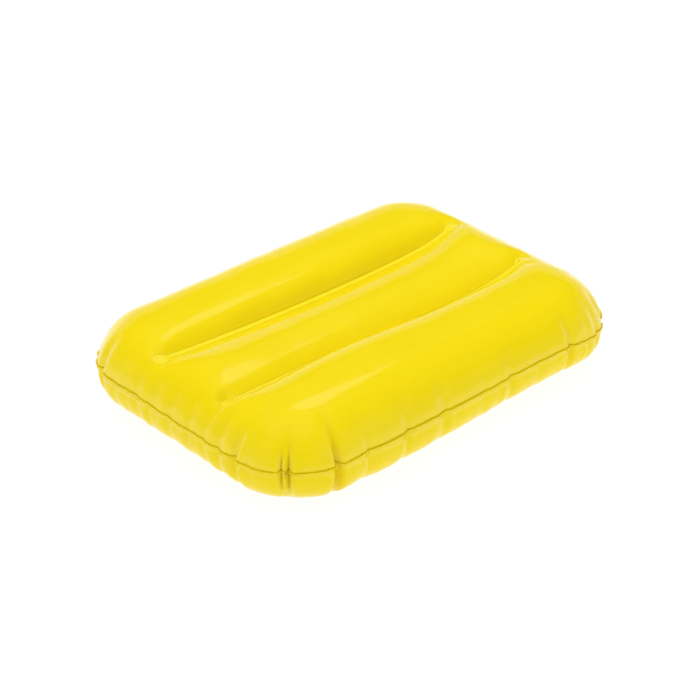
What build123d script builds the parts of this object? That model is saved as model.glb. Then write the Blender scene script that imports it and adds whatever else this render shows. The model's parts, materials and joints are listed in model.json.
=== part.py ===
from build123d import *
import os
from math import cos, radians, sin, sqrt

# An inflated camp pillow. Two sheets of soft PVC film are welded together all round their edge, and two
# upright strips of the same film, welded to both sheets, tie them together lengthwise. The strips stop short
# of the ends, so the air runs freely between the three chambers. A push-in air valve sits in the lower sheet
# at one end: a soft flange on the film, a stem that pulls out on a rolling web, a check flap across the
# stem's inner end, and a plug on a tether.
#
# Units are millimetres. +X runs along the pillow, +Z is up, and the origin is the middle of the underside.

# ---- the pillow, inflated ----
LENGTH = 370.0  # over the edge weld
WIDTH = 262.0
THICKNESS = 68.0
FILM = 0.3
EDGE_WELD = 2.0  # width of the weld that stands out all round
CORNER_RADIUS = 58.0  # in plan, on the film just inside the edge weld
SIDE_RADIUS = 33.5  # how the film rounds over from its side to the crown

BODY_LENGTH = LENGTH - 2 * EDGE_WELD
BODY_WIDTH = WIDTH - 2 * EDGE_WELD
SEAM_Z = THICKNESS / 2

# ---- the two lengthwise welds and the valleys over them ----
WELD_Y = 40.5
WELD_HALF_LENGTH = 153.0
WELD_WIDTH = 4.5
VALLEY_DEPTH = 17.0
CROWN_RUN = 40.0  # from a weld's edge to the top of the chamber beside it
CROWN_RISE = 0.2  # the arc's top stands this far over the crown, so that it crosses it and isn't tangent
CROWN_RADIUS = (CROWN_RUN**2 + (VALLEY_DEPTH + CROWN_RISE) ** 2) / (2 * (VALLEY_DEPTH + CROWN_RISE))

# ---- the air valve; heights are along its own axis, from the film's outer face ----
VALVE_ANGLE = 25.0  # below the horizontal, so that it clears the ground when it is pulled out
FLANGE_RADIUS = 10.5
FLANGE_THICKNESS = 0.8
HUB_RADIUS = 7.6
HUB_BORE = 6.3
HUB_LOW = -1.6
STEM_TOP = 2.0
STEM_LENGTH = 17.4
STEM_RADIUS = 4.5
STEM_BORE = 3.0
LIP_RADIUS = 5.4
LIP_HEIGHT = 1.1
COLLAR_HEIGHT = 1.2
WEB_THICKNESS = 0.5
FLAP_RADIUS = 4.0
FLAP_THICKNESS = 0.5
FLAP_GAP = 0.05
WEB_RIM_RADIUS = 4.7
WEB_CLEARANCE = 0.1
PLUG_CLEARANCE = 0.05
PLUG_LENGTH = 7.0
PLUG_HEAD_RADIUS = 5.0
PLUG_HEAD_HEIGHT = 1.4
PLUG_HEAD_EDGE = 0.4
TETHER_WIDTH = 2.4
TETHER_THICKNESS = 0.55
TETHER_LEG_END = 9.6
TETHER_GAP = 0.1

STEM_LOW = STEM_TOP - STEM_LENGTH
ROUND_X = BODY_LENGTH / 2 - SIDE_RADIUS  # axis of the end's round
ROUND_Z = SIDE_RADIUS
OUTWARD = (cos(radians(VALVE_ANGLE)), 0, -sin(radians(VALVE_ANGLE)))
VALVE_POINT = (ROUND_X + SIDE_RADIUS * OUTWARD[0], 0, ROUND_Z + SIDE_RADIUS * OUTWARD[2])
VALVE_FACE = Plane(origin=VALVE_POINT, x_dir=(0, 1, 0), z_dir=OUTWARD)
VALVE_SECTION = Plane(origin=VALVE_POINT, x_dir=(0, 1, 0), z_dir=(OUTWARD[2], 0, -OUTWARD[0]))
VALVE_AXIS = Axis(VALVE_POINT, OUTWARD)


def valley_profile(inset):
    """Half the valley over a weld, from its middle to a chamber's top, with the film's face moved in by inset."""
    crown_y = WELD_WIDTH / 2 + CROWN_RUN
    centre_z = THICKNESS + CROWN_RISE - CROWN_RADIUS
    radius = CROWN_RADIUS - inset
    floor_z = THICKNESS - VALLEY_DEPTH - inset
    floor_y = crown_y - sqrt(radius**2 - (floor_z - centre_z) ** 2)
    above = THICKNESS + 2 * CROWN_RISE
    with BuildSketch() as profile:
        with BuildLine():
            Line((0, floor_z), (floor_y, floor_z))
            RadiusArc((floor_y, floor_z), (crown_y, centre_z + radius), radius)
            Polyline((crown_y, centre_z + radius), (crown_y, above), (0, above), (0, floor_z))
        make_face()
    return profile.sketch


def valley(inset):
    """The cutter over one weld: a trench along X with a bowl at each end."""
    with BuildPart() as bowl:
        with BuildSketch(Plane.XZ):
            add(valley_profile(inset))
        revolve(axis=Axis.Z)
    with BuildPart() as trench:
        with BuildSketch(Plane.YZ.offset(-WELD_HALF_LENGTH)):
            add(valley_profile(inset))
            mirror(about=Plane.YZ)
        extrude(amount=2 * WELD_HALF_LENGTH)
        with Locations((-WELD_HALF_LENGTH, 0, 0), (WELD_HALF_LENGTH, 0, 0)):
            add(bowl.part)
    return trench.part


def upper_half(inset):
    """The inflated shape above the seam, with the film's face moved in by inset."""
    cutter = valley(inset)
    with BuildPart() as half:
        with BuildSketch(Plane.XY.offset(SEAM_Z)):
            RectangleRounded(BODY_LENGTH - 2 * inset, BODY_WIDTH - 2 * inset, CORNER_RADIUS - inset)
        extrude(amount=THICKNESS - inset - SEAM_Z)
        fillet(half.faces().sort_by(Axis.Z)[-1].edges(), SIDE_RADIUS - inset)
        with Locations((0, -WELD_Y, 0), (0, WELD_Y, 0)):
            add(cutter, mode=Mode.SUBTRACT)
    return half.part


def baffle(y):
    """One upright strip of film with a weld foot along its top and its bottom."""
    foot_z = VALLEY_DEPTH + FILM
    with BuildPart() as strip:
        with BuildSketch(Plane.XY.offset(foot_z)):
            with Locations((0, y)):
                SlotOverall(2 * WELD_HALF_LENGTH + WELD_WIDTH, WELD_WIDTH)
        extrude(amount=FILM)
        mirror(about=Plane.XY.offset(SEAM_Z))
        with BuildSketch(Plane.XY.offset(foot_z)):
            with Locations((0, y)):
                Rectangle(2 * WELD_HALF_LENGTH, FILM)
        extrude(amount=THICKNESS - 2 * foot_z)
    return strip


def save(piece, name):
    """Labels a finished piece and writes its STEP file."""
    piece.part.label = name
    export_step(piece.part, f"parts/{name}.step")


# ---- film ----
# The top sheet: the upper half of the inflated shape, hollowed to the film's thickness, with its half of the
# edge weld standing out at the seam.
with BuildPart() as top_sheet:
    add(upper_half(0))
    add(upper_half(FILM), mode=Mode.SUBTRACT)
    with BuildSketch(Plane.XY.offset(SEAM_Z)):
        RectangleRounded(LENGTH, WIDTH, CORNER_RADIUS + EDGE_WELD)
        RectangleRounded(BODY_LENGTH - 2 * FILM, BODY_WIDTH - 2 * FILM, CORNER_RADIUS - FILM, mode=Mode.SUBTRACT)
    extrude(amount=FILM)

# The bottom sheet: the same form turned over, with the valve's hole in its end.
with BuildPart() as bottom_sheet:
    add(mirror(top_sheet.part, about=Plane.XY.offset(SEAM_Z), mode=Mode.PRIVATE))
    with BuildSketch(VALVE_FACE.offset(-SIDE_RADIUS / 2)):
        Circle(HUB_RADIUS + 0.1)
    extrude(amount=SIDE_RADIUS, mode=Mode.SUBTRACT)

front_baffle = baffle(-WELD_Y)
rear_baffle = baffle(WELD_Y)

# ---- valve ----
# The flange is a soft disc that follows the film's round, with a hub through the film's hole.
with BuildPart() as valve_flange:
    with BuildSketch(VALVE_FACE.offset(-FLANGE_RADIUS / 2)):
        Circle(FLANGE_RADIUS)
    extrude(amount=FLANGE_RADIUS)
    with BuildSketch(Plane.XZ.offset(-FLANGE_RADIUS)):
        with Locations((ROUND_X, ROUND_Z)):
            Circle(SIDE_RADIUS + FLANGE_THICKNESS)
            Circle(SIDE_RADIUS, mode=Mode.SUBTRACT)
    extrude(amount=2 * FLANGE_RADIUS, mode=Mode.INTERSECT)
    with BuildSketch(VALVE_FACE.offset(HUB_LOW)):
        Circle(HUB_RADIUS)
    extrude(amount=FLANGE_THICKNESS - HUB_LOW)
    with BuildSketch(VALVE_FACE.offset(HUB_LOW)):
        Circle(HUB_BORE)
    extrude(amount=2 * (FLANGE_THICKNESS - HUB_LOW), mode=Mode.SUBTRACT)

# The stem is a tube with a lip round its mouth and a collar round its inner end.
with BuildPart() as valve_stem:
    with BuildSketch(VALVE_SECTION):
        with BuildLine():
            Polyline(
                (STEM_BORE, STEM_LOW),
                (LIP_RADIUS, STEM_LOW),
                (LIP_RADIUS, STEM_LOW + COLLAR_HEIGHT),
                (STEM_RADIUS, STEM_LOW + COLLAR_HEIGHT),
                (STEM_RADIUS, STEM_TOP - LIP_HEIGHT),
                (LIP_RADIUS, STEM_TOP - LIP_HEIGHT),
                (LIP_RADIUS, STEM_TOP),
                (STEM_BORE, STEM_TOP),
                close=True,
            )
        make_face()
    revolve(axis=VALVE_AXIS)

# The web is the thin sleeve that rolls out when the stem is pulled. It joins the hub's bore to the underside of
# the stem's collar.
with BuildPart() as valve_web:
    with BuildSketch(VALVE_SECTION):
        with BuildLine():
            Polyline(
                (WEB_RIM_RADIUS, STEM_LOW),
                (WEB_RIM_RADIUS, STEM_LOW - WEB_THICKNESS),
                (LIP_RADIUS + WEB_CLEARANCE + WEB_THICKNESS, STEM_LOW - WEB_THICKNESS),
                (HUB_BORE, HUB_LOW),
                (HUB_BORE, FLANGE_THICKNESS / 2),
                (HUB_BORE - WEB_THICKNESS, FLANGE_THICKNESS / 2),
                (HUB_BORE - WEB_THICKNESS, HUB_LOW),
                (LIP_RADIUS + WEB_CLEARANCE, STEM_LOW),
                close=True,
            )
        make_face()
    revolve(axis=VALVE_AXIS)

# The check flap lies across the stem's inner end and swings open from one edge.
with BuildPart() as check_flap:
    with BuildSketch(VALVE_FACE.offset(STEM_LOW - FLAP_GAP - FLAP_THICKNESS)):
        Circle(FLAP_RADIUS)
    extrude(amount=FLAP_THICKNESS)

# The plug has a round-nosed shank in the stem's bore and a flat head on its lip.
with BuildPart() as valve_plug:
    with BuildSketch(VALVE_SECTION):
        shank = STEM_BORE - PLUG_CLEARANCE
        with BuildLine():
            Polyline(
                (0, STEM_TOP - PLUG_LENGTH),
                (shank / 2, STEM_TOP - PLUG_LENGTH),
                (shank, STEM_TOP - PLUG_LENGTH + shank / 2),
                (shank, STEM_TOP),
                (PLUG_HEAD_RADIUS, STEM_TOP),
                (PLUG_HEAD_RADIUS, STEM_TOP + PLUG_HEAD_HEIGHT),
                (0, STEM_TOP + PLUG_HEAD_HEIGHT),
                close=True,
            )
        make_face()
    revolve(axis=VALVE_AXIS)
    fillet(valve_plug.edges().filter_by(GeomType.CIRCLE).sort_by(VALVE_AXIS)[-1], PLUG_HEAD_EDGE)

# The tether is a flat strap folded in a U: out from the stem's lip on one leg and back to the plug on the other.
# Pulled straight, it just lets the plug out of the stem.
with BuildPart() as plug_tether:
    with BuildSketch(VALVE_SECTION):
        with BuildLine():
            low_leg = STEM_TOP - LIP_HEIGHT / 2
            high_leg = STEM_TOP + PLUG_HEAD_HEIGHT / 2
            Line((LIP_RADIUS + TETHER_GAP, low_leg), (TETHER_LEG_END, low_leg))
            fold_middle = (TETHER_LEG_END + (high_leg - low_leg) / 2, (high_leg + low_leg) / 2)
            ThreePointArc((TETHER_LEG_END, low_leg), fold_middle, (TETHER_LEG_END, high_leg))
            Line((TETHER_LEG_END, high_leg), (PLUG_HEAD_RADIUS + TETHER_GAP, high_leg))
        trace(line_width=TETHER_THICKNESS)
    extrude(amount=TETHER_WIDTH / 2, both=True)

os.makedirs("parts", exist_ok=True)
save(top_sheet, "top_sheet")
save(bottom_sheet, "bottom_sheet")
save(front_baffle, "front_baffle")
save(rear_baffle, "rear_baffle")
save(valve_flange, "valve_flange")
save(valve_web, "valve_web")
save(valve_stem, "valve_stem")
save(check_flap, "check_flap")
save(valve_plug, "valve_plug")
save(plug_tether, "plug_tether")
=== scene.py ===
"""An inflatable camp pillow of glossy yellow PVC film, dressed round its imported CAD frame.

Two sheets are welded together all round and to two baffles along their length, which makes three chambers.
The sheets are laid out as they stand inflated, gathered where the edge weld puckers, and then relaxed under
pressure by a small membrane simulation. Lengths are in metres, in the CAD frame.
"""

import json
from math import asin, cos, pi, radians, sin

import bmesh
import bpy
import numpy as np
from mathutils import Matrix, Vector

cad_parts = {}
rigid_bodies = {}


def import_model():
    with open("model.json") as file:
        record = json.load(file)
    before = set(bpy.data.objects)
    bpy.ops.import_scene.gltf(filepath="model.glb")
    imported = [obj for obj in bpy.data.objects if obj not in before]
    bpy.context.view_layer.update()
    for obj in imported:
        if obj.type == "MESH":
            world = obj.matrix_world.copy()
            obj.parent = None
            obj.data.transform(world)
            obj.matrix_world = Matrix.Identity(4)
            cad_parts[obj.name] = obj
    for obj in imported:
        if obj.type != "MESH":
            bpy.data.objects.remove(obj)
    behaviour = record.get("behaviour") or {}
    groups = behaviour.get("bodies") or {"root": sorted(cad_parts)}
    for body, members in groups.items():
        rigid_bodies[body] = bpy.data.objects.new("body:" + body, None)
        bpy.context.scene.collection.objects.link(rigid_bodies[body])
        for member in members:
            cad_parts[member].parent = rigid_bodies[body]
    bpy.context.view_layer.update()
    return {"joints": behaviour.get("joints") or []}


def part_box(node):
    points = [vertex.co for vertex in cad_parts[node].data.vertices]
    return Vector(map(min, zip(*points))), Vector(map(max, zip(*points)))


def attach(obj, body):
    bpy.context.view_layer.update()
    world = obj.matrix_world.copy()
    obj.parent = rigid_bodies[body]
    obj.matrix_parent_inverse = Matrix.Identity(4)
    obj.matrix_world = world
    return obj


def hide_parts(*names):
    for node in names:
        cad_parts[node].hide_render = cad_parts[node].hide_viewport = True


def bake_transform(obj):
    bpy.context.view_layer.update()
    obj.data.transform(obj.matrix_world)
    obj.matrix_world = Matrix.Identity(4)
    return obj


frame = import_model()

MM = 0.001

# ---------------------------------------------------------------- driving sizes
BODY_LOW, BODY_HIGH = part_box("top_sheet")
SEAM_LIFT = 1.5 * MM  # the air lifts the seam a little over the CAD's
SEAM_Z = BODY_LOW[2] + SEAM_LIFT
EDGE_WELD = 1.2 * MM  # the flat weld that stands out all round
FILM = 0.3 * MM
HALF_X = BODY_HIGH[0] - EDGE_WELD  # to where the sheets part, just inside the edge weld
HALF_Y = BODY_HIGH[1] - EDGE_WELD
CORNER = 57 * MM  # radius of the seam's corners, in plan

CROWN = 33.5 * MM  # how far the outer chambers stand above the seam
KEEL = 35 * MM  # and below it
CROWN_RUN = 45 * MM  # from the seam in to the crown
KEEL_RUN = 36 * MM
BELLY = 4.4 * MM  # how far the lower sheet's wall bulges out
BELLY_AT = 12 * MM  # and where, in from the seam
SEAM_SAG = 4.5 * MM  # the seam's dip at the front right corner
SAG_PLACE = np.array([158 * MM, -116 * MM])
SAG_REACH = 45 * MM  # along the seam
WELD_RISE = 17 * MM  # the welds' height over the seam at its lowest, from where it climbs to both ends
WELD_CLIMB = 5 * MM  # the slow climb to both ends
WELD_KICK = 8 * MM  # the sharper climb at the valve end
WELD_REACH = 31 * MM  # from a weld to the top of the outer chamber beside it
MIDDLE_RISE = 10.5 * MM  # the middle chamber's top over the welds
MIDDLE_FADE = 22 * MM  # over which the middle chamber's valleys run out, past their half of it
FULLEST = -60 * MM  # where along its length the front chamber is fullest
FRONT_BOW = 6 * MM  # how far that pushes the front weld in
BOW_REACH = 75 * MM
FRONT_SWELL = 3 * MM  # and the front chamber up
SWELL_REACH = 80 * MM
STRIP_HALF = 2.3 * MM  # half the width of a weld
BULB = 6.2 * MM  # radius of the round end of a weld

BAFFLE_LOW, BAFFLE_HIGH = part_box("rear_baffle")
WELD_X = (-161 * MM, 149 * MM)
WELD_HALF_SPAN = (BAFFLE_LOW[1] + BAFFLE_HIGH[1]) / 2
WELD_Y = (WELD_HALF_SPAN, -WELD_HALF_SPAN)
# which end of which weld, and its slope away from the front
END_SLOPES = ((0, WELD_Y[0], -0.15), (0, WELD_Y[1], 0.5), (1, WELD_Y[0], 0.12), (1, WELD_Y[1], 0.3))
TILT_ALONG = 8 * MM  # how far from a round end its slope reaches
TILT_ACROSS = 11 * MM

JOINTS = {joint["name"]: joint for joint in frame["joints"]}
VALVE_AXIS = np.array(JOINTS["stem_pull"]["axis"])
END_ROUND = 33.5 * MM  # the CAD film's round at the valve, about a line along Y
END_LINE_X = HALF_X - END_ROUND
END_LINE_Z = END_ROUND
VALVE = np.array([END_LINE_X, 0, END_LINE_Z]) + END_ROUND * VALVE_AXIS
VALVE_HOLE = 8.6 * MM  # radius of the hole in the film
SEAT_RADIUS = 14 * MM  # within which the film lies on the CAD's round
SEAT_FADE = 30 * MM  # and over which it leaves it
BAFFLE_COLUMNS, BAFFLE_ROWS = 156, 18
BAFFLE_TAB = 2.0 * MM  # each baffle's welded tabs
BAFFLE_WAIST = 0.04  # how far their free ends curve in, as a share

CAMERA_AZIMUTH = radians(-42.8)
CAMERA_ELEVATION = radians(30.5)
CAMERA_DISTANCE = 1.5
CAMERA_LENS = 97.2  # millimetres, on a 36 mm sensor
CAMERA_SHIFT = (-0.0064, -0.0236)

CELL = 1.6 * MM  # size of the film's faces
RINGS_REACH = 38 * MM  # in from the seam, where the faces run round it in rings

# the simulation of the film
FILM_STIFFNESS = 4000.0  # newtons per metre, for 0.3 mm soft PVC
PRESSURE = 750.0  # pascals
BENDING = 2e-4  # newton metres
DAMPING = 0.98  # of the speed, kept at each step
STEPS = 200
MOST_MOVE = 6 * MM  # that any point may move from where it is laid out
FLOOR_CLEAR = 0.05 * MM  # how far the film stays above the floor
SIDE_SLACK = 0.008  # spare length along the seam, on its straight sides and at its corners
CORNER_SLACK = 0.03
UNEVEN_SLACK = 0.003  # a little more or less of it all over
WELD_SLACK = 0.12  # spare length across the welds, so that the chambers bulge over them
SLACK_REACH = 22 * MM  # in from the seam
WALL_SLACK_REACH = 9 * MM  # out from a weld
WALL_SLACK_END = 12 * MM  # and in from its ends, over which it comes in
SIDE_SHARE = 0.375  # of a quad's area, to each of its sides
DIAGONAL_SHARE = 0.75  # and to each of its diagonals


# ---------------------------------------------------------------- shape of the inflated film
def smooth(t):
    """0 below 0, 1 above 1, and an even curve between."""
    t = np.clip(t, 0, 1)
    return t * t * (3 - 2 * t)


def inset(x, y):
    """Distance in from the seam, in plan."""
    over_x = np.abs(x) - (HALF_X - CORNER)
    over_y = np.abs(y) - (HALF_Y - CORNER)
    out = np.hypot(np.maximum(over_x, 0), np.maximum(over_y, 0))
    return CORNER - out - np.minimum(np.maximum(over_x, over_y), 0)


def side_height(depth, top, side_run):
    """Height of the rounded side at a distance in from the seam, up to the chamber's top."""
    radius = (side_run**2 + top**2) / (2 * top)
    run = side_run - np.minimum(depth, side_run)
    return np.sqrt(radius**2 - run**2) - (radius - top)


def weld_line(x, weld_y):
    """The welds' run in plan: the front one bows in where the front chamber is fullest."""
    bow = FRONT_BOW * np.exp(-(((x - FULLEST) / BOW_REACH) ** 2)) if weld_y < 0 else 0
    return weld_y + bow


def weld_gap(x, y, weld_y):
    """Distance in plan from a weld's edge, round ends and all, less than 0 inside, and from its middle."""
    weld_y = weld_line(x, weld_y)
    past = np.maximum(np.maximum(WELD_X[0] - x, x - WELD_X[1]), 0)
    line = np.hypot(past, y - weld_y)
    bulb = np.minimum(np.hypot(x - WELD_X[0], y - weld_y), np.hypot(x - WELD_X[1], y - weld_y))
    return np.minimum(line - STRIP_HALF, bulb - BULB), line


def weld_distance(x, y, weld_y):
    """The same distances, the first of them 0 all over the weld."""
    gap, line = weld_gap(x, y, weld_y)
    return np.maximum(gap, 0), line


def valley(x, y, weld_y, depth):
    """How far one weld pulls the film down from the outer chambers' top."""
    away, line = weld_distance(x, y, weld_y)
    inward = (y - weld_line(x, weld_y)) * -np.sign(weld_y) / np.maximum(line, 1e-6)
    radius = (WELD_REACH**2 + depth**2) / (2 * depth)
    outer = radius - np.sqrt(radius**2 - np.maximum(WELD_REACH - away, 0) ** 2)
    rest = depth - MIDDLE_RISE
    near = 1 - np.clip(away / (WELD_HALF_SPAN - STRIP_HALF), 0, 1)
    inner = rest + MIDDLE_RISE * near**2
    inner = inner * (1 - smooth((line - WELD_HALF_SPAN) / MIDDLE_FADE))
    share = smooth(inward * 0.8 + 0.5)
    return outer * (1 - share) + inner * share


def weld_rise(x):
    """Height of the welds over the seam plane, along their length."""
    along = np.clip((2 * x - WELD_X[0] - WELD_X[1]) / (WELD_X[1] - WELD_X[0]), -1, 1)
    return WELD_RISE + WELD_CLIMB * (along - 0.2) ** 2 + WELD_KICK * np.maximum(along, 0) ** 8


def chamber_swell(x, y):
    """The chambers aren't quite even: the front one is fullest left of its middle, the rear one near it."""
    front = smooth(-y / WELD_HALF_SPAN) * FRONT_SWELL * np.exp(-(((x - FULLEST) / SWELL_REACH) ** 2))
    rear = smooth(y / WELD_HALF_SPAN) * (1.5 + 0.5 * np.cos((x - 10 * MM) / (90 * MM))) * MM
    return front + rear


def end_tilt(x, y):
    """The flat round ends of the welds lean a little: away from the front, but for the rear left one."""
    lean = 0
    for end, weld_y, slope in END_SLOPES:
        across = y - weld_line(x, weld_y)
        near = np.exp(-(((x - WELD_X[end]) / TILT_ALONG) ** 2) - (across / TILT_ACROSS) ** 4)
        lean = lean - slope * np.clip(across, -BULB, BULB) * near
    return lean


def height(x, y, top, side_run):
    """Height of a sheet over the seam plane, with its chambers, before any pucker."""
    top = top + chamber_swell(x, y)
    depth = top - weld_rise(x)
    dip = np.maximum(valley(x, y, WELD_Y[0], depth), valley(x, y, WELD_Y[1], depth))
    side = side_height(inset(x, y), top, side_run)
    soft = 3 * MM
    gap = np.clip(0.5 + 0.5 * (side - (top - dip)) / soft, 0, 1)
    return side * (1 - gap) + (top - dip) * gap - soft * gap * (1 - gap) + end_tilt(x, y)


# ---------------------------------------------------------------- grid of one sheet, in plan
def outline(count):
    """Points evenly spaced round the seam, from the middle of the +X end."""
    flat_x = HALF_X - CORNER
    flat_y = HALF_Y - CORNER
    arc = CORNER * pi / 2
    lengths = np.array([flat_y, arc, 2 * flat_x, arc, 2 * flat_y, arc, 2 * flat_x, arc, flat_y])
    ends = np.cumsum(lengths)
    centres = [(flat_x, flat_y), (-flat_x, flat_y), (-flat_x, -flat_y), (flat_x, -flat_y)]
    points = []
    for at in np.arange(count) * ends[-1] / count:
        part = int(np.searchsorted(ends, at, side="right"))
        along = at - (ends[part] - lengths[part])
        quarter = part // 2
        if part % 2:
            turn = quarter * pi / 2 + along / CORNER
            cx, cy = centres[quarter]
            points.append((cx + CORNER * cos(turn), cy + CORNER * sin(turn)))
        else:
            start = along - flat_y if part == 0 else along
            side = [
                (HALF_X, along),
                (flat_x - start, HALF_Y),
                (-HALF_X, flat_y - start),
                (start - flat_x, -HALF_Y),
                (HALF_X, start - flat_y),
            ][quarter]
            points.append(side)
    return np.array(points)


def grid_lines(stops, half):
    """Grid lines from -half to half, with one on each stop."""
    marks = [-half, *stops, half]
    lines = [np.array([-half])]
    for start, end in zip(marks, marks[1:]):
        steps = max(1, round((end - start) / CELL))
        lines.append(np.linspace(start, end, steps + 1)[1:])
    return np.concatenate(lines)


def sheet_grid():
    """One sheet in plan: its points, its quads and the loop of points on the seam."""
    edges = [y + s for y in reversed(WELD_Y) for s in (-STRIP_HALF, STRIP_HALF)]
    xs = grid_lines([], HALF_X - RINGS_REACH)
    ys = grid_lines(edges, HALF_Y - RINGS_REACH)
    nx, ny = len(xs), len(ys)
    points = [np.stack(np.meshgrid(xs, ys), -1).reshape(-1, 2)]
    index = np.arange(nx * ny).reshape(ny, nx)
    quads = [np.stack([index[:-1, :-1], index[:-1, 1:], index[1:, 1:], index[1:, :-1]], -1).reshape(-1, 4)]
    middle = int(np.argmin(np.abs(ys)))
    loop = np.concatenate(
        [index[middle:-1, -1], index[-1, :0:-1], index[:0:-1, 0], index[0, :-1], index[:middle, -1]]
    )
    inner = points[0][loop]
    outer = outline(len(loop))
    radius = (CROWN_RUN**2 + CROWN**2) / (2 * CROWN)
    steep = asin(CROWN_RUN / radius)
    shallow = asin((CROWN_RUN - RINGS_REACH) / radius)
    rings = round(radius * (steep - shallow) / CELL)
    last = loop
    count = nx * ny
    for ring in range(1, rings + 1):
        angle = shallow + (steep - shallow) * ring / rings
        share = (sin(angle) - sin(shallow)) / (sin(steep) - sin(shallow))
        points.append(inner * (1 - share) + outer * share)
        this = count + np.arange(len(loop))
        quads.append(np.stack([last, this, np.roll(this, -1), np.roll(last, -1)], -1))
        last = this
        count += len(loop)
    return np.concatenate(points), np.concatenate(quads), last


# ---------------------------------------------------------------- puckers of the edge weld
GATHER_NEAR = 25 * MM  # no gather draws the film further along the seam than this
FOLD_WIDENS = 0.9  # a fold's width grows by this share where it has run its reach
FOLD_SHORT = 0.4  # by this share of its reach
FOLD_FADES = 0.3  # it has lost this share of its depth
SOFT_FOLDS = 60
VALVE_SMOOTH = 45  # millimetres round the valve with none of those folds
UP_COLUMN, DOWN_COLUMN = 4, 5

# Each gather: the place on the seam, how deep it tucks in, its half width, how far it runs up the upper sheet
# and down the lower one, and how far it leans along the seam. All in millimetres.
GATHERS = [
    (-183, -70, 3.8, 2.4, 13, 14, 2),
    (-178, -84, 0.9, 3.4, 30, 10, 2),
    (-171, -108, 5.2, 1.7, 12, 12, 0),
    (-167, -112, 6.0, 1.7, 13, 13, 0),
    (-134, -127, 7.6, 2.4, 19, 30, 2),
    (-105, -131, 2.0, 3.0, 18, 22, -2),
    (-66, -131, 1.4, 3.2, 12, 22, 0),
    (-27, -131, 1.1, 4.0, 10, 20, 2),
    (44, -131, 1.0, 4.0, 10, 22, 0),
    (112, -131, 2.4, 2.0, 12, 18, 0),
    (134, -128, 1.2, 3.0, 10, 18, 0),
    (147, -123, 2.2, 2.8, 11, 18, 0),
    (162, -112, 5.6, 2.6, 10, 22, 1),
    (-181, 92, 3.8, 3.2, 13, 18, 0),
    (-172, 112, 0.9, 4.0, 14, 16, 0),
    (-183, 22, 0.7, 4.5, 34, 8, -3),
    (-183, 3, 0.5, 4.0, 30, 14, 0),
    (-183, -18, 0.8, 3.6, 31, 16, 2),
    (-183, -36, 0.9, 3.6, 33, 18, 3),
    (-182, -53, 1.1, 3.4, 32, 16, 4),
    (-183, 44, 0.9, 4.5, 14, 18, 2),
]


def all_gathers():
    """The listed gathers and, on the far sides, seeded ones of the same kinds."""
    rng = np.random.default_rng(7)
    rows = list(GATHERS)
    for angle, depth in ((22, 3.4), (40, 4.4), (61, 3.0), (78, 1.6), (128, 1.6)):
        corner = (CORNER * cos(radians(angle)), CORNER * sin(radians(angle)))
        centre = (HALF_X - CORNER) if angle < 90 else -(HALF_X - CORNER)
        place = ((centre + corner[0]) / MM, (HALF_Y - CORNER + corner[1]) / MM)
        rows.append((*place, depth, 3.2, rng.uniform(9, 15), rng.uniform(18, 30), rng.uniform(-2, 2)))
    for x in (-88, -30, 25, 80):
        rows.append((x + rng.uniform(-12, 12), 131, rng.uniform(0.8, 1.8), 4, 14, 22, 0))
    for y in (-58, -34, 42, 66):
        rows.append((184, y, rng.uniform(1, 2), 4, 20, 22, 0))
    # soft folds of the lower sheet, all round
    for turn in np.arange(SOFT_FOLDS) * 2 * pi / SOFT_FOLDS + rng.uniform(0, 0.08, SOFT_FOLDS):
        place = (200 * cos(turn), 145 * sin(turn))
        if np.hypot(place[0] - VALVE[0] / MM, place[1]) > VALVE_SMOOTH:
            rows.append((*place, rng.uniform(0.2, 0.9), rng.uniform(2.5, 5), 5, 30, rng.uniform(-3, 3)))
    return rows


def on_seam(x, y):
    """The nearest point of the seam in plan, and the way out across it."""
    cx = np.clip(x, CORNER - HALF_X, HALF_X - CORNER)
    cy = np.clip(y, CORNER - HALF_Y, HALF_Y - CORNER)
    away = np.stack([x - cx, y - cy], -1)
    size = np.maximum(np.linalg.norm(away, axis=-1, keepdims=True), 1e-9)
    out = away / size
    return np.stack([cx, cy], -1) + CORNER * out, out


def tuck(x, y, reach_column):
    """How far in the film is drawn at each point by all the gathers together."""
    depth = inset(x, y)
    foot, _ = on_seam(x, y)
    total = np.zeros(len(x))
    for row in all_gathers():
        deep, half_width, reach, lean_over = row[2] * MM, row[3] * MM, row[reach_column] * MM, row[6] * MM
        place, out = on_seam(np.array([row[0] * MM]), np.array([row[1] * MM]))
        along = (foot - place) @ np.array([-out[0, 1], out[0, 0]])
        near = np.linalg.norm(foot - place, axis=1) < GATHER_NEAR
        width = half_width * (1 + FOLD_WIDENS * depth / reach)
        lean = lean_over * depth / reach
        fold = np.exp(-(((along - lean) / width) ** 2)) * np.exp(-((depth / reach) ** 2))
        fade = np.clip(depth / (FOLD_SHORT * reach), 0, 1)
        total += near * deep * fold * (1 - FOLD_FADES * fade)
    return total


def belly(x, y):
    """How far the lower sheet's wall bulges out under its weight, least at the gathered front left corner."""
    share = inset(x, y) / BELLY_AT
    _, out = on_seam(x, y)
    gathered = np.clip(2 * out[:, 0] * out[:, 1], 0, 1) * (out[:, 0] < 0) * (out[:, 1] < 0)
    return BELLY * share * np.exp(1 - share) * (1 - 0.7 * gathered)


def seam_wave(x, y):
    """A small rise and fall of the seam, which sags at the front right corner."""
    foot, _ = on_seam(x, y)
    turn = np.arctan2(foot[:, 1] / HALF_Y, foot[:, 0] / HALF_X)
    wave = 0.5 * np.sin(5 * turn + 0.6) + 0.35 * np.sin(11 * turn + 2.1) + 0.25 * np.sin(23 * turn)
    sag = SEAM_SAG * np.exp(-(np.linalg.norm(foot - SAG_PLACE, axis=1) / SAG_REACH) ** 2)
    return wave * MM - sag


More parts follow.
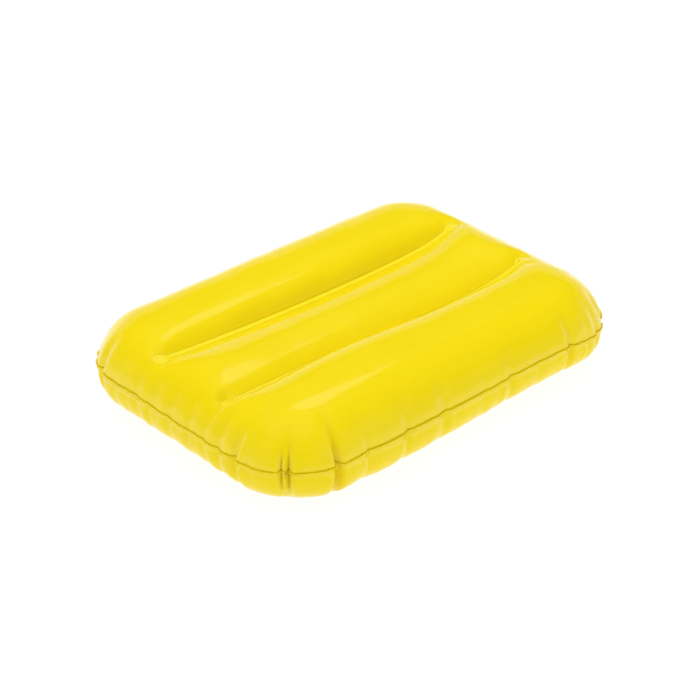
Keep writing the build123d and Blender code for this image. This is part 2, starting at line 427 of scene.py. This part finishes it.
# ---------------------------------------------------------------- the two sheets together
def vertex_normals(points, quads):
    across = np.cross(points[quads[:, 2]] - points[quads[:, 0]], points[quads[:, 3]] - points[quads[:, 1]])
    total = np.zeros_like(points)
    for axis in range(3):
        total[:, axis] = np.bincount(quads.ravel(), np.repeat(across[:, axis], 4), len(points))
    return total / np.maximum(np.linalg.norm(total, axis=1, keepdims=True), 1e-12)


def on_end_round(points):
    """Points moved straight out onto the CAD film's round at the valve."""
    line = np.array([END_LINE_X, END_LINE_Z])
    spoke = points[:, [0, 2]] - line
    spoke /= np.maximum(np.linalg.norm(spoke, axis=1, keepdims=True), 1e-9)
    moved = points.copy()
    moved[:, [0, 2]] = line + (END_ROUND - 0.02 * MM) * spoke
    return moved


def seat_on_valve(points):
    """Draws the lower sheet near the valve onto the CAD's round, which the flange is welded to."""
    on_round = on_end_round(points)
    share = 1 - smooth((np.linalg.norm(points - VALVE, axis=1) - SEAT_RADIUS) / SEAT_FADE)
    share = share[:, None]
    return points * (1 - share) + on_round * share, share[:, 0]


def lay_out():
    """Both sheets as they stand, gathered. They share the seam's points."""
    plan, quads, seam = sheet_grid()
    count = len(plan)
    x, y = plan.T
    on_rim = np.zeros(count, bool)
    on_rim[seam] = True
    lower_of = np.where(on_rim, np.arange(count), -1)
    free = np.flatnonzero(~on_rim)
    lower_of[free] = count + np.arange(len(free))
    upper = np.column_stack([x, y, height(x, y, CROWN, CROWN_RUN)])
    lower = np.column_stack([x, y, -height(x, y, KEEL, KEEL_RUN)])
    sheets = []
    for points, turned, column in ((upper, False, UP_COLUMN), (lower, True, DOWN_COLUMN)):
        faces = quads[:, ::-1] if turned else quads
        normals = vertex_normals(points, faces)
        _, out = on_seam(x, y)
        outward = np.column_stack([out, np.zeros(count)])
        rim_share = np.exp(-((inset(x, y) / (6 * MM)) ** 2))[:, None]
        way = normals * (1 - rim_share) + outward * rim_share
        points = points - way * tuck(x, y, column)[:, None]
        if turned:
            points = points + outward * belly(x, y)[:, None]
        points[:, 2] += seam_wave(x, y) * np.exp(-inset(x, y) / (20 * MM)) + SEAM_Z
        sheets.append(points)
    sheets[1], seated = seat_on_valve(sheets[1])
    together = np.concatenate([sheets[0], sheets[1][free]])
    pinned = np.zeros(len(together), bool)
    for weld_y in WELD_Y:
        held = weld_distance(x, y, weld_y)[0] <= 1e-9
        pinned[:count] |= held
        pinned[lower_of[held]] = True
    pinned[lower_of[seated > 0.999]] = True
    return together, plan, quads, seam, lower_of, pinned


def film_edges(points, faces, plan):
    """Each quad's sides and diagonals once, with their slack lengths and the film area of each."""
    corners = points[faces]
    area = np.linalg.norm(np.cross(corners[:, 2] - corners[:, 0], corners[:, 3] - corners[:, 1]), axis=1) / 2
    pairs = [faces[:, [a, b]] for a, b in ((0, 1), (1, 2), (2, 3), (3, 0), (0, 2), (1, 3))]
    shares = [area * SIDE_SHARE] * 4 + [area * DIAGONAL_SHARE] * 2
    pairs = np.sort(np.concatenate(pairs), axis=1)
    keys, which = np.unique(pairs[:, 0] * len(points) + pairs[:, 1], return_inverse=True)
    pairs = np.stack([keys // len(points), keys % len(points)], 1)
    span = points[pairs[:, 1]] - points[pairs[:, 0]]
    lengths = np.linalg.norm(span, axis=1)
    middle = (plan[pairs[:, 0]] + plan[pairs[:, 1]]) / 2
    slack_lengths = lengths * (1 + slack(middle, span / lengths[:, None]))
    return pairs, slack_lengths, np.bincount(which, np.concatenate(shares))


def slack(middle, way):
    """The film's spare length: gathered along the seam, most at the corners, and a little uneven all over."""
    x, y = middle.T
    _, out = on_seam(x, y)
    along = (way[:, 0] * -out[:, 1] + way[:, 1] * out[:, 0]) ** 2
    corner = smooth((np.abs(out[:, 0] * out[:, 1]) - 0.05) / 0.4)
    rim = np.exp(-((inset(x, y) / SLACK_REACH) ** 2))
    rng = np.random.default_rng(11)
    uneven = np.zeros(len(x))
    for _ in range(24):
        turn = rng.uniform(0, 2 * pi)
        wave = 2 * pi / (rng.uniform(18, 60) * MM)
        uneven += np.sin(wave * (x * cos(turn) + y * sin(turn)) + rng.uniform(0, 2 * pi))
    seam_gather = along * rim * (SIDE_SLACK + (CORNER_SLACK - SIDE_SLACK) * corner)
    walls = np.zeros(len(x))
    for weld_y in WELD_Y:
        away, _ = weld_distance(x, y, weld_y)
        outer = (y - weld_line(x, weld_y)) * np.sign(weld_y) > 0
        inside = smooth((x - WELD_X[0]) / WALL_SLACK_END) * smooth((WELD_X[1] - x) / WALL_SLACK_END)
        walls += WELD_SLACK * np.exp(-((away / WALL_SLACK_REACH) ** 2)) * (away > 0) * outer * inside
    return seam_gather + walls * way[:, 1] ** 2 + UNEVEN_SLACK * uneven / 5


def relax(points, faces, plan, pinned):
    """Lets the film settle: membrane springs, bending about the laid-out shape, and the air's pressure."""
    count = len(points)
    pairs, lengths, area = film_edges(points, faces, plan)
    first, second = pairs.T
    ends = np.concatenate([first, second])
    spring = FILM_STIFFNESS * area / lengths**2
    degree = np.bincount(ends, minlength=count)
    point_area = np.bincount(ends, np.concatenate([area, area]), count) / 2
    # the eight differences round a point add up to 3 times its curvature, so their mean to 3 / 8 of it
    bend = 64 / 9 * BENDING / point_area
    stiff = np.bincount(ends, np.concatenate([spring, spring]), count)
    mass = (1.05 * (stiff + 2 * bend) + 2 * PRESSURE * CELL)[:, None]  # enough to keep each step stable
    bend = (bend / degree**2)[:, None]
    loose = np.where(pinned, 0.0, 1.0)[:, None]
    corners = faces.ravel()

    def gather(pulls):
        total = np.empty((count, 3))
        for axis in range(3):
            pull_along = pulls[:, axis]
            total[:, axis] = np.bincount(first, pull_along, count) - np.bincount(second, pull_along, count)
        return total

    start = points
    speed = np.zeros_like(points)
    for _ in range(STEPS):
        apart = points[second] - points[first]
        size = np.sqrt((apart * apart).sum(1))
        pull = gather((spring * (size - lengths) / size)[:, None] * apart)
        at = points[faces]
        across = np.cross(at[:, 2] - at[:, 0], at[:, 3] - at[:, 1])
        across = np.repeat(across * (PRESSURE / 8), 4, 0)  # half of it is the quad's area
        for axis in range(3):
            pull[:, axis] += np.bincount(corners, across[:, axis], count)
        moved = points - start
        curve = gather(moved[second] - moved[first])
        curve *= bend
        pull -= gather(curve[second] - curve[first])
        speed = speed * DAMPING + pull / mass * loose
        moved += speed
        far = np.sqrt((moved * moved).sum(1))
        points = start + moved * np.minimum(1, MOST_MOVE / np.maximum(far, 1e-12))[:, None]
        points[:, 2] = np.maximum(points[:, 2], FLOOR_CLEAR)  # the lower sheet lies flat on the floor
    return points


points, plan, quads, seam, lower_of, pinned = lay_out()
plan_inset = inset(*plan.T)
both = np.concatenate([quads, lower_of[quads[:, ::-1]]])
points = relax(points, both, points[:, :2], pinned)


RIPPLE_DEPTH = 0.13 * MM
RIPPLE_LENGTH = 5.5 * MM  # from one ripple to the next


def fine_ripples(x, y):
    """A few small ripples on the near slope of the rear chamber, too fine for the simulation."""
    spot = np.exp(-(((x + 42 * MM) / (13 * MM)) ** 2) - (((y - 61 * MM) / (9 * MM)) ** 2))
    run = x + 0.35 * y + 0.9 * MM * np.sin(y / (2.5 * MM))
    return RIPPLE_DEPTH * spot * np.sin(2 * pi * run / RIPPLE_LENGTH)


upper_count = len(lower_of)
points[:upper_count, 2] += fine_ripples(*points[:upper_count, :2].T)


# ---------------------------------------------------------------- meshes
def mesh_object(name, vertices, faces):
    mesh = bpy.data.meshes.new(name)
    mesh.from_pydata([tuple(v) for v in vertices], [], [tuple(map(int, f)) for f in faces])
    mesh.update()
    mesh.shade_smooth()
    made = bpy.data.objects.new(name, mesh)
    bpy.context.scene.collection.objects.link(made)
    return made


def apply_modifiers(made):
    """Puts what the modifiers give into the object's own mesh."""
    bpy.context.view_layer.update()
    result = bpy.data.meshes.new_from_object(made.evaluated_get(bpy.context.evaluated_depsgraph_get()))
    result.name = made.name
    made.modifiers.clear()
    made.data = result
    return made


def thicken(made, thickness, offset=-1.0):
    solid = made.modifiers.new("film", "SOLIDIFY")
    solid.thickness = thickness
    solid.offset = offset
    return apply_modifiers(made)


def cut_valve_hole(sheet_points, faces):
    """Opens the lower sheet for the valve's hub, and draws the edge of the hole to a circle."""
    from_valve = sheet_points - VALVE
    along = from_valve @ VALVE_AXIS
    across = from_valve - np.outer(along, VALVE_AXIS)
    radius = np.linalg.norm(across, axis=1)
    inside = (radius < VALVE_HOLE) & (np.abs(along) < VALVE_HOLE)
    dropped = inside[faces].any(axis=1)
    edge = np.intersect1d(faces[dropped], faces[~dropped])
    sheet_points[edge] += across[edge] * (VALVE_HOLE / radius[edge] - 1)[:, None]
    sheet_points[edge] = on_end_round(sheet_points[edge])
    return faces[~dropped]


FAR_GAP = 9.0  # millimetres, further than any tone reaches


def write_distances(made, name, distances):
    """Writes a distance to each point for the material, in millimetres, or a far one where there are none."""
    layer = made.data.attributes.new(name, "FLOAT", "POINT")
    far = np.full(len(made.data.vertices), FAR_GAP)
    layer.data.foreach_set("value", (far if distances is None else distances / MM).astype(np.float32))


def film_sheet(name, which, up):
    """One sheet with its share of the edge weld, as a closed film."""
    sheet_points = points[which].copy()
    faces = quads if up > 0 else cut_valve_hole(sheet_points, quads[:, ::-1])
    rim = sheet_points[seam]
    ahead = np.roll(rim, -3, 0) - np.roll(rim, 3, 0)
    out = np.column_stack([ahead[:, 1], -ahead[:, 0], np.zeros(len(rim))])
    out /= np.linalg.norm(out, axis=1, keepdims=True)
    lift = np.array([0, 0, up * FILM])
    sheet_points[seam] = rim + lift
    steps = (0.2, 0.6, 1.0)
    last = seam
    count = len(sheet_points)
    extra, bands = [], []
    for step in steps:
        extra.append(rim + lift + out * EDGE_WELD * step)
        this = count + np.arange(len(seam))
        band = np.stack([last, this, np.roll(this, -1), np.roll(last, -1)], -1)
        bands.append(band if up > 0 else band[:, ::-1])
        last = this
        count += len(seam)
    faces = np.concatenate([faces, *bands])
    used, numbers = np.unique(faces, return_inverse=True)
    made = mesh_object(name, np.concatenate([sheet_points, *extra])[used], numbers.reshape(faces.shape))
    x, y = points[: len(which), 0], points[: len(which), 1]
    lip = np.repeat(steps, len(rim)) * EDGE_WELD
    to_weld = np.minimum(*(weld_gap(x, y, weld_y)[0] for weld_y in WELD_Y))
    to_seam = np.concatenate([np.maximum(plan_inset, 0), lip])[used] if up > 0 else None
    write_distances(made, "weld_gap", np.concatenate([to_weld, FAR_GAP * MM + lip])[used])
    write_distances(made, "seam_gap", to_seam)
    return thicken(made, FILM)


top_film = film_sheet("top_film", np.arange(len(lower_of)), 1)
bottom_film = film_sheet("bottom_film", lower_of, -1)
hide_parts("top_sheet")
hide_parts("bottom_sheet")
for piece in (top_film, bottom_film):
    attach(piece, "root")


def sheet_height(sheet_points, x, y):
    """Height of a sheet at places in plan, from its nearest points."""
    apart = (sheet_points[:, 0] - x[:, None]) ** 2 + (sheet_points[:, 1] - y[:, None]) ** 2
    nearest = np.argpartition(apart, 4, axis=1)[:, :4]
    weight = 1 / (np.take_along_axis(apart, nearest, 1) + 1e-9)
    return (sheet_points[nearest, 2] * weight).sum(1) / weight.sum(1)


def strip_quads(rows, columns, closed=False):
    """The quads of a grid of points, row after row, with its rows closed into rings where asked."""
    index = np.arange(rows * columns).reshape(rows, columns)
    if closed:
        index = np.column_stack([index, index[:, :1]])
    return np.stack([index[:-1, :-1], index[:-1, 1:], index[1:, 1:], index[1:, :-1]], -1).reshape(-1, 4)


def baffle_film(name, weld_y):
    """A strip of film on edge between the sheets, with a tab turned over and welded along each long side."""
    xs = np.linspace(WELD_X[0], WELD_X[1], BAFFLE_COLUMNS)
    line = weld_line(xs, weld_y) + 0 * xs
    gap = FILM * 1.5 + 0.02 * MM  # clear of the sheet's own thickness
    upper = sheet_height(points[: len(lower_of)], xs, line) - gap
    lower = sheet_height(points[lower_of], xs, line) + gap
    middle = (WELD_X[0] + WELD_X[1]) / 2
    rows = [np.column_stack([xs, line + out, upper]) for out in (BAFFLE_TAB, BAFFLE_TAB / 2)]
    for share in np.linspace(0, 1, BAFFLE_ROWS):
        drawn_in = 1 - BAFFLE_WAIST * 4 * share * (1 - share)  # the free ends curve in
        run = middle + (xs - middle) * drawn_in
        rows.append(np.column_stack([run, line, upper * (1 - share) + lower * share]))
    rows += [np.column_stack([xs, line + out, lower]) for out in (BAFFLE_TAB / 2, BAFFLE_TAB)]
    return thicken(mesh_object(name, np.concatenate(rows), strip_quads(len(rows), len(xs))), FILM, 0)


for name, weld_y in (("rear_baffle", WELD_Y[0]), ("front_baffle", WELD_Y[1])):
    piece = baffle_film(name + "_film", weld_y)
    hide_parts(name)
    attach(piece, "root")


# ---------------------------------------------------------------- the valve's soft pieces
VALVE_ACROSS = np.array([0.0, 1.0, 0.0])
VALVE_UP = np.cross(VALVE_AXIS, VALVE_ACROSS)


def on_valve(radius, turn, along):
    """A point by its distance from the valve's axis, its turn round it and its height over the film."""
    return VALVE + radius * (cos(turn) * VALVE_ACROSS + sin(turn) * VALVE_UP) + along * VALVE_AXIS


def web_skin():
    """The thin sleeve that lets the stem sink in: a closed section, revolved, with soft rings for folds."""
    low, rim, lip = -15.4, -1.6, 0.4
    steps = np.linspace(low, rim, 25)
    ring = 0.22 * np.sin(pi * (steps - low) / (rim - low)) * np.sin(3 * pi * (steps - low) / (rim - low)) ** 2
    outer = [(6.0 + 0.3 * (h - low) / (rim - low) + r, h) for h, r in zip(steps, ring)]
    inner = [(5.5 + 0.3 * (h - low) / (rim - low) + r, h) for h, r in zip(steps, ring)]
    section = [(4.7, low), (4.7, low - 0.5), (5.4, low - 0.5), (5.9, low - 0.35), *outer, (6.3, -0.6)]
    section += [(6.27, lip - 0.1), (6.15, lip), (5.95, lip), (5.83, lip - 0.1), (5.8, -0.6), *reversed(inner)]
    turns = np.linspace(0, 2 * pi, 64, endpoint=False)
    vertices = [on_valve(r * MM, turn, h * MM) for r, h in section for turn in turns]
    quads = strip_quads(len(section), len(turns), closed=True)
    last = (len(section) - 1) * len(turns)
    count = len(turns)
    quads = np.concatenate(
        [quads, [(last + i, last + (i + 1) % count, (i + 1) % count, i) for i in range(count)]]
    )
    return mesh_object("valve_web_skin", vertices, quads)


def tether_skin():
    """The plug's strap: out from the stem's lip, over in a tight fold and back to the plug's head."""
    low, high, reach, half, thick = 1.45, 2.7, 9.6, 1.2, 0.275
    bend = (high - low) / 2
    path = [(r, low, 0.0) for r in np.linspace(5.15, reach, 12)]
    for turn in np.linspace(0, pi, 41)[1:-1]:
        path.append((reach + bend * sin(turn), low + bend * (1 - cos(turn)), turn))
    path += [(r, high, pi) for r in np.linspace(reach, 4.8, 12)]
    corner = 0.12
    section = [(half, corner - thick), (half, thick - corner), (half - corner, thick), (corner - half, thick)]
    section += [(-a, -b) for a, b in section]
    vertices = []
    for radius, along, turn in path:
        narrow = 1 - 0.22 * np.exp(-(((radius - 8.2) / 1.4) ** 2))  # the strap is waisted beside its fold
        for side, out in section:
            r = radius + out * sin(turn)
            h = along - out * cos(turn)
            vertices.append(VALVE + (r * VALVE_ACROSS + side * narrow * VALVE_UP + h * VALVE_AXIS) * MM)
    faces = [tuple(q) for q in strip_quads(len(path), len(section), closed=True)]
    faces += [tuple(range(len(section)))[::-1], tuple(range(len(vertices) - len(section), len(vertices)))]
    return mesh_object("plug_tether_skin", vertices, faces)


def face_outward(made):
    """Turns a closed shell's faces to point out."""
    shell = bmesh.new()
    shell.from_mesh(made.data)
    bmesh.ops.recalc_face_normals(shell, faces=shell.faces)
    shell.to_mesh(made.data)
    shell.free()
    return made


web = face_outward(web_skin())
tether = face_outward(tether_skin())
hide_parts("valve_web")
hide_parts("plug_tether")
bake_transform(web)
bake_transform(tether)


# ---------------------------------------------------------------- materials
def new_material(name):
    material = bpy.data.materials.new(name)
    material.use_nodes = True
    return material, material.node_tree, material.node_tree.nodes["Principled BSDF"]


def noise(tree, coordinates, scale, detail, roughness=0.5):
    """Noise in the object's own metres."""
    made = tree.nodes.new("ShaderNodeTexNoise")
    made.inputs["Scale"].default_value = scale
    made.inputs["Detail"].default_value = detail
    made.inputs["Roughness"].default_value = roughness
    tree.links.new(coordinates.outputs["Object"], made.inputs["Vector"])
    return made.outputs["Fac"]


def spread(tree, value, low, high):
    """A noise's middle range spread over other values."""
    made = tree.nodes.new("ShaderNodeMapRange")
    made.inputs["From Min"].default_value = 0.3
    made.inputs["From Max"].default_value = 0.7
    made.inputs["To Min"].default_value = low
    made.inputs["To Max"].default_value = high
    tree.links.new(value, made.inputs["Value"])
    return made.outputs["Result"]


def distance(tree, layer, near, far, at_near, at_far):
    """A value that runs from one distance to another, in millimetres, from a weld or the seam."""
    made = tree.nodes.new("ShaderNodeAttribute")
    made.attribute_name = layer
    span = tree.nodes.new("ShaderNodeMapRange")
    span.interpolation_type = "SMOOTHSTEP"
    span.inputs["From Min"].default_value = near
    span.inputs["From Max"].default_value = far
    span.inputs["To Min"].default_value = at_near
    span.inputs["To Max"].default_value = at_far
    tree.links.new(made.outputs["Fac"], span.inputs["Value"])
    return span.outputs["Result"]


def colours(tree, value, low, high):
    ramp = tree.nodes.new("ShaderNodeValToRGB")
    ramp.color_ramp.elements[0].position = 0.3
    ramp.color_ramp.elements[0].color = (*low, 1)
    ramp.color_ramp.elements[1].position = 0.7
    ramp.color_ramp.elements[1].color = (*high, 1)
    tree.links.new(value, ramp.inputs["Fac"])
    return ramp.outputs["Color"]


def bumps(tree, shader, layers):
    """Bump nodes in a chain: each layer is a height, its depth in metres and its strength."""
    last = None
    for value, depth, strength in layers:
        made = tree.nodes.new("ShaderNodeBump")
        made.inputs["Distance"].default_value = depth
        made.inputs["Strength"].default_value = strength
        tree.links.new(value, made.inputs["Height"])
        if last is not None:
            tree.links.new(last, made.inputs["Normal"])
        last = made.outputs["Normal"]
    tree.links.new(last, shader.inputs["Normal"])


YELLOW_LOW = (0.912, 0.708, 0.0068)  # the film's own colour, between these two
YELLOW_HIGH = (0.928, 0.728, 0.0085)
# painted shade for the crease where the sheets part at the seam
CREASE_PAINTED_SHADE = (0.60, 0.42, 0.003)
# painted shade for the foot of the walls beside the inner welds
WALL_FOOT_PAINTED_SHADE = (0.62, 0.43, 0.003)
# painted light, a lighter yellow for the welds' flat strips
WELD_PAINTED_LIGHT = (0.95, 0.775, 0.022)
# a painted highlight, pale yellow for the welds' round ends
WELD_END_PAINTED_HIGHLIGHT = (0.95, 0.80, 0.13)


def film_material(name, gloss):
    """Soft, calendered PVC film: glossy, very slightly uneven in tone, with a fine orange peel and waves."""
    material, tree, shader = new_material(name)
    coordinates = tree.nodes.new("ShaderNodeTexCoord")
    clouds = noise(tree, coordinates, 26, 4)
    peel = noise(tree, coordinates, 420, 2)
    waves = noise(tree, coordinates, 60, 1)
    grain = noise(tree, coordinates, 2600, 2)
    step = distance(tree, "weld_gap", -0.35, 0.35, 0, 1)
    colour = colours(tree, clouds, YELLOW_LOW, YELLOW_HIGH)
    crease_painted_shade = distance(tree, "seam_gap", 0.1, 0.5, 0.75, 0)  # painted shade: deeper in tone where the sheets part
    edge = distance(tree, "weld_gap", 0.1, 0.9, 0.5, 0)  # and painted shade at the foot of the walls beside the inner welds
    flat = distance(tree, "weld_gap", -0.15, 0.15, 1, 0)  # painted light: the welds themselves, pressed flat, are drawn lighter
    middle = distance(tree, "weld_gap", -5.2, -3.6, 1, 0)  # a painted highlight on their round ends most of all
    for factor, other in ((crease_painted_shade, CREASE_PAINTED_SHADE), (edge, WALL_FOOT_PAINTED_SHADE), (flat, WELD_PAINTED_LIGHT), (middle, WELD_END_PAINTED_HIGHLIGHT)):
        tint = tree.nodes.new("ShaderNodeMix")
        tint.data_type = "RGBA"
        tint.inputs["B"].default_value = (*other, 1)
        tree.links.new(factor, tint.inputs["Factor"])
        tree.links.new(colour, tint.inputs["A"])
        colour = tint.outputs["Result"]
    tree.links.new(colour, shader.inputs["Base Color"])
    tree.links.new(spread(tree, clouds, 0.10, 0.13), shader.inputs["Roughness"])
    shader.inputs["IOR"].default_value = 1.44
    shader.inputs["Specular IOR Level"].default_value = gloss
    relief = [(step, 0.12 * MM, 1.0), (waves, 0.08 * MM, 0.25)]
    relief += [(peel, 0.012 * MM, 0.4), (grain, 0.004 * MM, 0.35)]
    bumps(tree, shader, relief)
    return material


def pvc_material():
    """Moulded milky PVC, a little cloudy and satin."""
    material, tree, shader = new_material("milky_pvc")
    coordinates = tree.nodes.new("ShaderNodeTexCoord")
    clouds = noise(tree, coordinates, 180, 3)
    satin = noise(tree, coordinates, 3200, 2)
    tree.links.new(colours(tree, clouds, (0.76, 0.76, 0.70), (0.84, 0.85, 0.80)), shader.inputs["Base Color"])
    tree.links.new(spread(tree, satin, 0.30, 0.42), shader.inputs["Roughness"])
    shader.inputs["Subsurface Weight"].default_value = 0.25
    shader.inputs["Subsurface Radius"].default_value = (1.0, 0.95, 0.85)
    shader.inputs["Subsurface Scale"].default_value = 1.5 * MM
    shader.inputs["IOR"].default_value = 1.5
    bumps(tree, shader, ((clouds, 0.05 * MM, 0.3), (satin, 0.01 * MM, 0.4)))
    return material


yellow = film_material("yellow_pvc_film", 0.5)
rubbed = film_material("yellow_pvc_film_underside", 0.14)  # the side that lies on the ground has less gloss
milky = pvc_material()
for piece in bpy.context.scene.objects:
    if piece.type == "MESH":
        piece.data.materials.clear()
        film = rubbed if piece == bottom_film else yellow
        piece.data.materials.append(film if "film" in piece.name or "baffle" in piece.name else milky)


# ---------------------------------------------------------------- floor, light and camera
def floor():
    """A pale floor that glows, with a painted shadow where the pillow rests on it."""
    made = mesh_object("floor", [(-6, -6, 0), (6, -6, 0), (6, 6, 0), (-6, 6, 0)], [(0, 1, 2, 3)])
    material, tree, shader = new_material("pale_floor")
    shader.inputs["Base Color"].default_value = (0.14, 0.14, 0.14, 1)
    shader.inputs["Roughness"].default_value = 0.9
    shader.inputs["Emission Color"].default_value = (1, 1, 1, 1)
    last = tree.nodes.new("ShaderNodeTexCoord").outputs["Object"]
    core = (HALF_X - CORNER, HALF_Y - CORNER, 0)
    steps = (("ABSOLUTE", None), ("SUBTRACT", core), ("MAXIMUM", (0, 0, 0)), ("LENGTH", None))
    for operation, value in steps:
        step = tree.nodes.new("ShaderNodeVectorMath")
        step.operation = operation
        if value is not None:
            step.inputs[1].default_value = value
        tree.links.new(last, step.inputs[0])
        last = step.outputs["Value" if operation == "LENGTH" else "Vector"]
    # painted contact shadow: the floor's glow is turned down under and just round the pillow
    shade = tree.nodes.new("ShaderNodeMapRange")
    shade.interpolation_type = "SMOOTHSTEP"
    shade.inputs["From Min"].default_value = CORNER - 34 * MM
    shade.inputs["From Max"].default_value = CORNER - 20 * MM
    shade.inputs["To Min"].default_value = 0.25
    shade.inputs["To Max"].default_value = 0.92
    tree.links.new(last, shade.inputs["Value"])
    tree.links.new(shade.outputs["Result"], shader.inputs["Emission Strength"])
    made.data.materials.append(material)


def soft_box(name, place, aim, size, power, seen=True):
    """A square lamp. One that isn't seen lights the film without a reflection of its own."""
    light = bpy.data.lights.new(name, "AREA")
    light.size = size
    light.energy = power
    made = bpy.data.objects.new(name, light)
    made.location = place
    made.rotation_mode = "QUATERNION"
    made.rotation_quaternion = (Vector(aim) - Vector(place)).to_track_quat("-Z", "Y")
    made.visible_glossy = seen
    made.visible_camera = False
    bpy.context.scene.collection.objects.link(made)


def studio():
    """A pale sweep, dark overhead and dimmer before the object, so that gloss shows on the far slopes."""
    world = bpy.data.worlds.new("studio")
    bpy.context.scene.world = world
    world.use_nodes = True
    tree = world.node_tree
    coordinates = tree.nodes.new("ShaderNodeTexCoord")
    split = tree.nodes.new("ShaderNodeSeparateXYZ")
    ramp = tree.nodes.new("ShaderNodeValToRGB")
    behind = tree.nodes.new("ShaderNodeVectorMath")
    behind.operation = "DOT_PRODUCT"
    behind.inputs[1].default_value = (-sin(CAMERA_AZIMUTH), cos(CAMERA_AZIMUTH), 0)
    share = tree.nodes.new("ShaderNodeMapRange")
    share.inputs["From Min"].default_value = -0.1
    share.inputs["From Max"].default_value = 0.5
    share.inputs["To Min"].default_value = 0.4
    share.inputs["To Max"].default_value = 1.0
    tree.links.new(coordinates.outputs["Generated"], split.inputs[0])
    tree.links.new(coordinates.outputs["Generated"], behind.inputs[0])
    tree.links.new(split.outputs["Z"], ramp.inputs["Fac"])
    tree.links.new(behind.outputs["Value"], share.inputs["Value"])
    tree.links.new(ramp.outputs["Color"], tree.nodes["Background"].inputs["Color"])
    horizon = tree.nodes.new("ShaderNodeMapRange")  # the sweep runs on from the floor all round
    horizon.inputs["From Min"].default_value = 0.03
    horizon.inputs["From Max"].default_value = 0.06
    horizon.inputs["To Min"].default_value = 1.0
    horizon.inputs["To Max"].default_value = 0.0
    brightest = tree.nodes.new("ShaderNodeMath")
    brightest.operation = "MAXIMUM"
    tree.links.new(split.outputs["Z"], horizon.inputs["Value"])
    tree.links.new(horizon.outputs["Result"], brightest.inputs[0])
    tree.links.new(share.outputs["Result"], brightest.inputs[1])
    tree.links.new(brightest.outputs["Value"], tree.nodes["Background"].inputs["Strength"])
    for stop in ramp.color_ramp.elements[1:]:
        ramp.color_ramp.elements.remove(stop)
    ramp.color_ramp.elements[0].color = (1, 1, 1, 1)
    for height, white in ((0.10, 0.7), (0.22, 0.46), (0.36, 0.40), (0.42, 0.004)):
        stop = ramp.color_ramp.elements.new(height)
        stop.color = (white, white, white, 1)
    middle = (0, 0, SEAM_Z)
    soft_box("overhead", (-0.2, 0.2, 2.6), middle, 3.0, 60, seen=False)
    soft_box("front_fill", (0.5, -2.0, 0.9), middle, 1.6, 17, seen=False)
    soft_box("left_fill", (-2.1, 0.2, 0.9), middle, 1.6, 14, seen=False)
    soft_box("back_fill", (1.2, 1.4, 2.0), middle, 1.6, 20, seen=False)
    soft_box("window", (0.155, 0.146, 0.51), (-0.13, 0, 0.06), 0.19, 0.11)


def camera():
    """The camera at the photograph's angle: 43 degrees round to the left and 30.5 up."""
    flat = cos(CAMERA_ELEVATION)
    back = Vector((sin(CAMERA_AZIMUTH) * flat, -cos(CAMERA_AZIMUTH) * flat, sin(CAMERA_ELEVATION)))
    data = bpy.data.cameras.new("camera")
    data.sensor_width = 36
    data.lens = CAMERA_LENS
    data.shift_x, data.shift_y = CAMERA_SHIFT
    made = bpy.data.objects.new("camera", data)
    made.location = Vector((0, 0, SEAM_Z)) + back * CAMERA_DISTANCE
    made.rotation_mode = "QUATERNION"
    made.rotation_quaternion = (-back).to_track_quat("-Z", "Y")
    bpy.context.scene.collection.objects.link(made)
    bpy.context.scene.camera = made


floor()
studio()
camera()
bpy.context.scene.view_settings.view_transform = "Standard"
